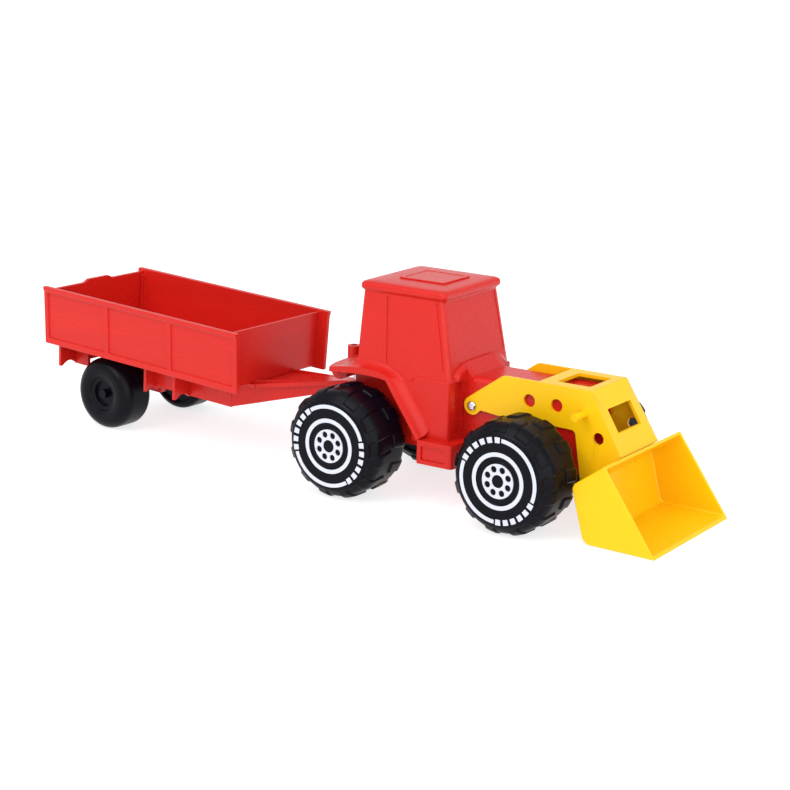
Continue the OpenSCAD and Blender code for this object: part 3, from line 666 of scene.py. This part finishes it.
def bucket():
    inner_half = BUCKET_HALF - BUCKET_WALL
    outer = rounded_ends(prism(bucket_side(0), "y", -BUCKET_HALF, BUCKET_HALF), 1.2)
    room = rounded_ends(prism(bucket_side(BUCKET_WALL), "y", -inner_half, inner_half), 1.5)
    beyond = prism([*BUCKET_RIM, (290, 0), (290, 90), (206, 90)], "y", -70, 70)
    shape = cut(outer, room, beyond)
    union(shape, *mirrored(bucket_ear))
    cut(shape, *[rod(*BUCKET_PIN, 2, *across(side, 27, 31)) for side, _ in SIDES])
    merge_flat(shape)
    soften(shape, 0.6, 3, 24, clamp=False)
    return piece(shape, "loader_bucket", TRACTOR, "bucket", YELLOW, ["bucket"])


# ---------------------------------------------------------------- wheels
TYRE_W = 45.6
FACE_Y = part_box("print_rear_left")[1].y / MM  # outer face of the printed rings
PRINT_T = 0.3
LUGS = 12                                     # in each of the two rows
LUG_H = 1.2
LUG_TWIST = 5                                 # degrees from the middle of the tread to each face
BACK_SINK = 3
HUB_SINK = 0.9
SHOULDER_R = 9.5
NO_LUG, OUTER_LUG, INNER_LUG = 0, 1, 2


def tyre_profile():
    """Closed section of the tyre as radius, depth from the outer face, and which row of lugs lifts it."""
    r = TYRE_R - LUG_H
    rows = [(2, 3.9), (4.4, 3.9), (4.4, HUB_SINK), (12.35, HUB_SINK), (12.35, 0.05), (13.2, 0.1),
            (13.8, 0.55), (15.2, 0.8), (16.3, 0.45), (16.9, 0), (17.6, 0), (24, 0), (29.8, 0), (31, 0.15),
            (32.4, 0.7), (33.6, 1.5)]
    rows = [(a, b, NO_LUG) for a, b in rows]
    shoulder = arc((r - SHOULDER_R, 12.2), SHOULDER_R, -62, 0, 8)
    rows += [(a, b - 0.6, OUTER_LUG) for a, b in shoulder]
    rows += [(r, z, OUTER_LUG) for z in (13.5, 16, 18.5, 20.6)]
    rows += [(r, z, NO_LUG) for z in (21.3, 22.8, 24.3)]
    rows += [(r, z, INNER_LUG) for z in (25, 27, 30, 33)]
    rows += [(a, b, INNER_LUG) for a, b in arc((r - SHOULDER_R, 34.4), SHOULDER_R, 6, 58, 7)]
    back = TYRE_W - BACK_SINK
    dish = [(33.4, 43.6), (32, 45.2), (31, TYRE_W), (30, TYRE_W - 0.2), (29.4, back), (24, back), (17, back),
            (9.2, back), (8.6, TYRE_W), (2, TYRE_W)]
    return rows + [(a, b, NO_LUG) for a, b in dish]


def tyre():
    """Tyre whose section is repeated round the axle and lifted where a lug stands."""
    profile = tyre_profile()
    half_pitch = 180 / LUGS
    offsets = (0.2, 2, 4, 7.5, 11, 13, 14.8)
    bm = bmesh.new()
    rings = []
    for half in range(2 * LUGS):
        row = OUTER_LUG if half % 2 == 0 else INNER_LUG
        for offset in offsets:
            raised = offsets[0] < offset < offsets[-1]
            ring = []
            for i, (r, z, lug) in enumerate(profile):
                twist = LUG_TWIST * abs(z - TYRE_W / 2) / (TYRE_W / 2) if 10 < r else 0
                if raised and lug == row:
                    before, after = Vector(profile[i - 1][:2]), Vector(profile[i + 1][:2])
                    along = (after - before).normalized()
                    r, z = r + along.y * LUG_H, max(0.4, z - along.x * LUG_H)
                a = math.radians(half * half_pitch + offset + twist)
                ring.append(bm.verts.new((r * math.cos(a), r * math.sin(a), z)))
            rings.append(ring)
    return closed_round(bm, rings)


def wheel_matrix(side, origin):
    """Placement at an origin in metres; its local z points inwards from a wheel's outer face."""
    return axes_matrix((1, 0, 0), (0, 0, side), (0, -side, 0), origin)


def tractor_wheels():
    for end, centre in (("rear", rear_axle), ("front", front_axle)):
        for side, word in SIDES:
            shape = tyre()
            soften(shape, 0.35, 2, 25)
            place = wheel_matrix(side, (centre.x, side * (FACE_Y - PRINT_T) * MM, centre.z))
            piece(shape, f"{end}_{word}_tyre", place, f"{end}_wheels", BLACK, [f"tyre_{end}_{word}"])


CART_FACE = 57.4  # outer face of each trailer wheel, from the middle of their axle
CART_SLIDE = 10   # the axle stands this far to the left in its bore
CART_W = 28.7


def cart_wheels():
    """Plain rounded wheels with a stepped dish round the axle's cap."""
    r = CART_R
    back = CART_W - BACK_SINK
    profile = [(2, 6), (9.4, 6), (9.8, 5.6), (9.8, 3.6), (10.4, 2.9), (12.4, 2.6), (13.2, 2.2), (13.6, 1.3),
               (14.2, 0.9), (15.2, 0.8), (15.8, 0.3), (16.8, 0), (19.6, 0), *arc((r - 9, 9), 9, -84, 0, 12),
               *arc((r - 5, CART_W - 5), 5, 0, 84, 8), (r - 7, back), (7.4, back), (7, CART_W), (2, CART_W)]
    for side, word in SIDES:
        shape = lathe(profile, 96)
        soften(shape, 0.25, 2, 30)
        turn = wheel_matrix(side, (0, 0, 0)) @ Matrix.Scale(1 / MM, 4)
        place = TRAILER @ Matrix.Translation((0, CART_SLIDE + side * CART_FACE, 0)) @ turn
        piece(shape, f"cart_{word}_wheel", place, "trailer_wheels", BLACK, [f"trailer_wheel_{word}"])


# ---------------------------------------------------------------- trailer
BOX_FRONT, BOX_BACK = 146, -57
FLOOR_Z = 62.7 - 28.4      # its height above the ground, less the axle's
FLOOR_T = 2.5
BOARD_H = 44.6
BOARD_DROP = 2             # the side boards reach this far below the floor
BOARD_T = 3.4
BOARD_LEAN = 2.3 / BOARD_H
PANELS = 3                 # in each side board and in the tailgate
PANEL_DEPTH = 1.2
RIB_W = 4.2
BOX_HALF = 53.2
FRONT_INSET, FRONT_T = 8, 2.2
GATE_INSET, GATE_T = 3.2, 3
GUIDE_GAP, GUIDE_T = 0.3, 2


def leaning(side, points):
    """Cross-section points, given from a side's foot at the floor, that lean outwards with its board."""
    return [(side * (BOX_HALF + y + BOARD_LEAN * z), FLOOR_Z + z) for y, z in points]


def side_board(side):
    """Leaning board with shallow panels between its ribs and a rim along its top."""
    low, high = -BOARD_DROP, BOARD_H
    section = [(-BOARD_T, low), (0, low), (0, high - 3.8), (0.8, high - 2.8), (0.8, high), (-BOARD_T, high)]
    board = prism(leaning(side, section), "x", BOX_BACK, BOX_FRONT)
    recess = [(-PANEL_DEPTH, low + 5), (2, low + 5), (2, high - 5), (-PANEL_DEPTH, high - 5)]
    pitch = (BOX_FRONT - BOX_BACK - RIB_W) / PANELS
    starts = [BOX_BACK + RIB_W + k * pitch for k in range(PANELS)]
    return cut(board, *[prism(leaning(side, recess), "x", x, x + pitch - RIB_W) for x in starts])


def gate_guide(side):
    """Ledge that holds the tailgate against the rear posts."""
    low, high = -6.7, -2.7
    section = leaning(side, [(low, 2), (high, 2), (high, 40.6), (low, 40.6)])
    start = BOX_BACK + GATE_INSET + GATE_T + GUIDE_GAP
    return prism(section, "x", start, start + GUIDE_T)


def wall_across(x0, x1, half, z0, z1):
    """Upright board across the trailer whose ends follow the leaning sides."""
    low, high = half + BOARD_LEAN * z0, half + BOARD_LEAN * z1
    section = [(-low, z0), (low, z0), (high, z1), (-high, z1)]
    return prism([(y, FLOOR_Z + z) for y, z in section], "x", x0, x1)


def trailer_box():
    shape = union(*mirrored(side_board))
    front_x = BOX_FRONT - FRONT_INSET
    floor = block((BOX_BACK + 1.5, -BOX_HALF + 2, FLOOR_Z), (front_x - 1, BOX_HALF - 2, FLOOR_Z + FLOOR_T))
    front = wall_across(front_x - FRONT_T, front_x, BOX_HALF - 2.2, 0, BOARD_H - 1.4)
    union(shape, floor, front, *mirrored(gate_guide))
    merge_flat(shape)
    soften(shape, 0.45, 3, 30, clamp=False)
    return piece(shape, "trailer_body", TRAILER, "trailer", BRUSHED_RED, ["trailer_box"])


def tailgate():
    """Board with three panels on its back and a raised middle to its top edge."""
    x0 = BOX_BACK + GATE_INSET
    half, foot, top = BOX_HALF - 3.8, 2.8, BOARD_H - 2
    shape = wall_across(x0, x0 + GATE_T, half - BOARD_LEAN * foot, foot, top)
    bump = fillet([(-18, top - 1), (18, top - 1), (11, top + 2.4), (-11, top + 2.4)], [0, 0, 3, 3], 5)
    union(shape, prism([(y, FLOOR_Z + z) for y, z in bump], "x", x0, x0 + GATE_T))
    pitch = (2 * half - 8) / PANELS
    low, high = FLOOR_Z + 8, FLOOR_Z + top - 5
    cutters = []
    for k in range(PANELS):
        y0 = -half + 5 + k * pitch
        y1 = y0 + pitch - 3.4
        panel = fillet([(y0, low), (y1, low), (y1, high), (y0, high)], 1)
        cutters.append(prism(panel, "x", x0 - 2, x0 + 0.8))
    cut(shape, *cutters)
    soften(shape, 0.4, 2, 30)
    return piece(shape, "trailer_tailgate", TRAILER, "tailgate", RED, ["tailgate"])


# ---------------------------------------------------------------- CAD nodes that stay
EDGE_WIDTHS = {"chassis": 0.5, "trailer_chassis": 0.5}
SMALL_EDGE = 0.12


def finish_cad_nodes():
    """Gives every CAD node its material, and those that show soft moulded edges."""
    slots = {row["node"]: row["material_slot"] for row in frame["record"]["subparts"]}
    for node, obj in frame["nodes"].items():
        obj.data.materials.clear()
        obj.data.materials.append(SLOT_MATERIALS[slots[node]])
        if not obj.hide_render:
            soften(obj, EDGE_WIDTHS.get(node, SMALL_EDGE) * MM, 2, 30, keep=True)


# ---------------------------------------------------------------- stage
AIM = (0.02, 0, 0.06)
FLOOR_REACH, FLOOR_DROP = 60, 0.0002
FLOOR_TONE, FLOOR_GLOW = 0.42, 0.74
WORLD_COLOR = (0.97, 0.985, 1.0)
WORLD_STRENGTH = (0.95, 0.66)  # at the horizon and overhead
# name, place, strength and spread in degrees
SUNS = (("key", (-0.3, -1.5, 1.9), 1.08, 50),
        ("fill", (1.5, -0.8, 0.5), 1.7, 70),
        ("overhead", (0.2, -0.3, 2), 0.55, 60))
GLINT_AT, GLINT_POWER, GLINT_SIZE = (-0.35, -1.5, 1.1), 3.5, (0.3, 0.5)


def lamp(name, kind, at, power):
    """Light that points at the middle of the toy."""
    data = bpy.data.lights.new(name, kind)
    data.energy = power
    made = bpy.data.objects.new(name, data)
    made.location = at
    made.rotation_euler = (Vector(AIM) - Vector(at)).to_track_quat("-Z", "Y").to_euler()
    bpy.context.scene.collection.objects.link(made)
    return data


def pale_floor():
    """Plain floor that glows a little, so that shadows on it stay faint."""
    bm = bmesh.new()
    bmesh.ops.create_grid(bm, x_segments=2, y_segments=2, size=FLOOR_REACH)
    floor = new_object("floor", bm)
    floor.location.z = -FLOOR_DROP
    paint = bpy.data.materials.new("pale_floor")
    paint.use_nodes = True
    shader = paint.node_tree.nodes["Principled BSDF"]
    shader.inputs["Base Color"].default_value = (FLOOR_TONE, FLOOR_TONE, FLOOR_TONE, 1)
    shader.inputs["Emission Color"].default_value = (0.985, 0.99, 1, 1)
    shader.inputs["Emission Strength"].default_value = FLOOR_GLOW
    shader.inputs["Roughness"].default_value = 0.8
    floor.data.materials.append(paint)


def studio_world():
    """Plain surroundings that fade from the horizon upwards."""
    world = bpy.data.worlds.new("studio")
    bpy.context.scene.world = world
    world.use_nodes = True
    nodes, links = world.node_tree.nodes, world.node_tree.links
    nodes["Background"].inputs["Color"].default_value = [*WORLD_COLOR, 1]
    direction = nodes.new("ShaderNodeTexCoord")
    height = nodes.new("ShaderNodeSeparateXYZ")
    fade = nodes.new("ShaderNodeMapRange")
    for socket, value in zip(("From Min", "From Max", "To Min", "To Max"), (0.2, 0.8, *WORLD_STRENGTH)):
        fade.inputs[socket].default_value = value
    links.new(direction.outputs["Generated"], height.inputs["Vector"])
    links.new(height.outputs["Z"], fade.inputs["Value"])
    links.new(fade.outputs["Result"], nodes["Background"].inputs["Strength"])


def stage():
    pale_floor()
    studio_world()
    for name, at, strength, spread in SUNS:
        lamp(name, "SUN", at, strength).angle = math.radians(spread)
    glint = lamp("glint", "AREA", GLINT_AT, GLINT_POWER)
    glint.shape = "RECTANGLE"
    glint.size, glint.size_y = GLINT_SIZE


CAMERA_AT = (788.664, -1180.797, 426.606)
CAMERA_AZIMUTH, CAMERA_ELEVATION, CAMERA_ROLL = 33.652, 14.425, 1.221  # degrees
CAMERA_LENS, SENSOR_WIDTH = 91.03, 36


def camera():
    """Camera in front of the toy's right side, a little above it."""
    azimuth, elevation, roll = (math.radians(a) for a in (CAMERA_AZIMUTH, CAMERA_ELEVATION, CAMERA_ROLL))
    flat = Vector((math.sin(azimuth), -math.cos(azimuth), 0))
    back = flat * math.cos(elevation) + Vector((0, 0, math.sin(elevation)))
    right = Vector((math.cos(azimuth), math.sin(azimuth), 0))
    up = back.cross(right)
    turned_right = right * math.cos(roll) + up * math.sin(roll)
    turned_up = up * math.cos(roll) - right * math.sin(roll)
    data = bpy.data.cameras.new("camera")
    data.lens = CAMERA_LENS
    data.sensor_width = SENSOR_WIDTH
    obj = bpy.data.objects.new("camera", data)
    turn = Matrix((turned_right, turned_up, back)).transposed().to_4x4()
    obj.matrix_world = Matrix.Translation(TRACTOR @ Vector(CAMERA_AT)) @ turn
    bpy.context.scene.collection.objects.link(obj)
    bpy.context.scene.camera = obj


body()
loader()
bucket()
tractor_wheels()
cart_wheels()
trailer_box()
tailgate()
finish_cad_nodes()
stage()
camera()
bpy.context.scene.view_settings.view_transform = "Standard"
